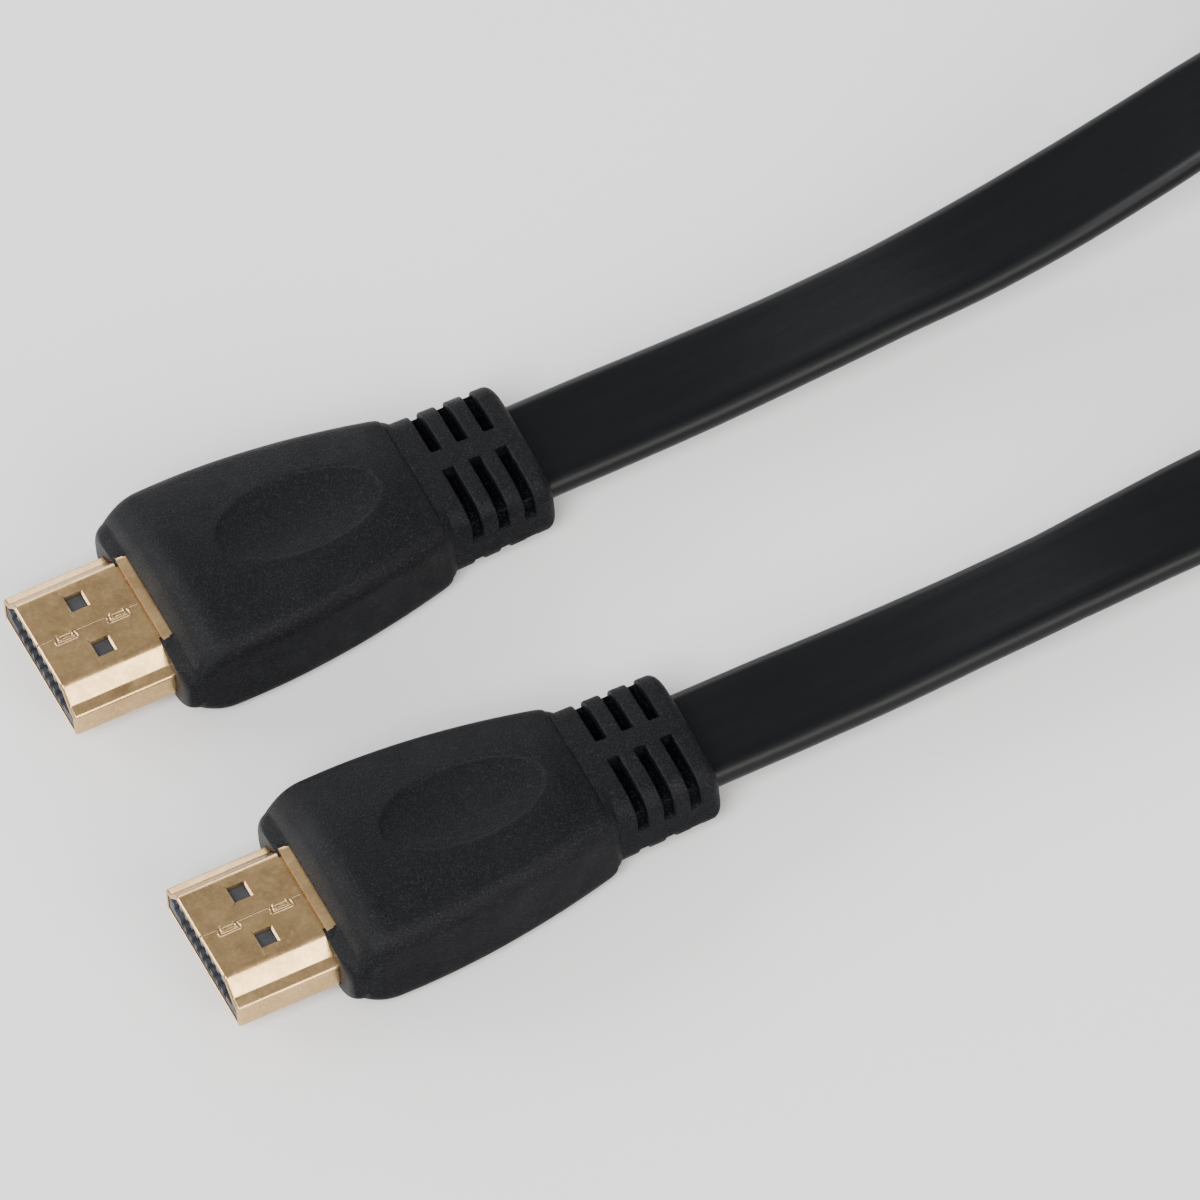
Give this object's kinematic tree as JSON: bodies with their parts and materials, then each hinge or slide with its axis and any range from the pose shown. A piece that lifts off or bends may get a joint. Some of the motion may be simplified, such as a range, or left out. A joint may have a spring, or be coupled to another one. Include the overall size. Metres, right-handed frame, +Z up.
{
  "type": "hdmi cable",
  "caption": "Flat black digital video and audio cable with a gold-shelled plug on each end and a coiled cord.",
  "frame": {"origin": "under the middle of the two plugs, on the floor that they lie on", "axes": "+X from the plugs' mouths towards the cord, +Z up, +Y from plug B to plug A"},
  "size_m": [0.2624, 0.0804, 0.0138],
  "materials": {
    "shell_gold": "satin gold plating",
    "contact_gold": "bright gold plating",
    "insulator": "matte",
    "overmold": "fine-grained matte soft plastic",
    "cord": "smooth satin soft plastic",
    "tie": "satin"
  },
  "bodies": {
    "root": {"plug_a_shell": "shell_gold", "plug_a_collar": "shell_gold", "plug_a_insulator": "insulator", "plug_a_contact_01": "contact_gold", "plug_a_contact_02": "contact_gold", "plug_a_contact_03": "contact_gold", "plug_a_contact_04": "contact_gold", "plug_a_contact_05": "contact_gold", "plug_a_contact_06": "contact_gold", "plug_a_contact_07": "contact_gold", "plug_a_contact_08": "contact_gold", "plug_a_contact_09": "contact_gold", "plug_a_contact_10": "contact_gold", "plug_a_contact_11": "contact_gold", "plug_a_contact_12": "contact_gold", "plug_a_contact_13": "contact_gold", "plug_a_contact_14": "contact_gold", "plug_a_contact_15": "contact_gold", "plug_a_contact_16": "contact_gold", "plug_a_contact_17": "contact_gold", "plug_a_contact_18": "contact_gold", "plug_a_contact_19": "contact_gold", "plug_a_overmold": "overmold", "plug_b_shell": "shell_gold", "plug_b_collar": "shell_gold", "plug_b_insulator": "insulator", "plug_b_contact_01": "contact_gold", "plug_b_contact_02": "contact_gold", "plug_b_contact_03": "contact_gold", "plug_b_contact_04": "contact_gold", "plug_b_contact_05": "contact_gold", "plug_b_contact_06": "contact_gold", "plug_b_contact_07": "contact_gold", "plug_b_contact_08": "contact_gold", "plug_b_contact_09": "contact_gold", "plug_b_contact_10": "contact_gold", "plug_b_contact_11": "contact_gold", "plug_b_contact_12": "contact_gold", "plug_b_contact_13": "contact_gold", "plug_b_contact_14": "contact_gold", "plug_b_contact_15": "contact_gold", "plug_b_contact_16": "contact_gold", "plug_b_contact_17": "contact_gold", "plug_b_contact_18": "contact_gold", "plug_b_contact_19": "contact_gold", "plug_b_overmold": "overmold", "cord_strand_a": "cord", "cord_strand_b": "cord", "cord_coil": "cord", "tie_a": "tie", "tie_b": "tie"}
  },
  "joints": []
}
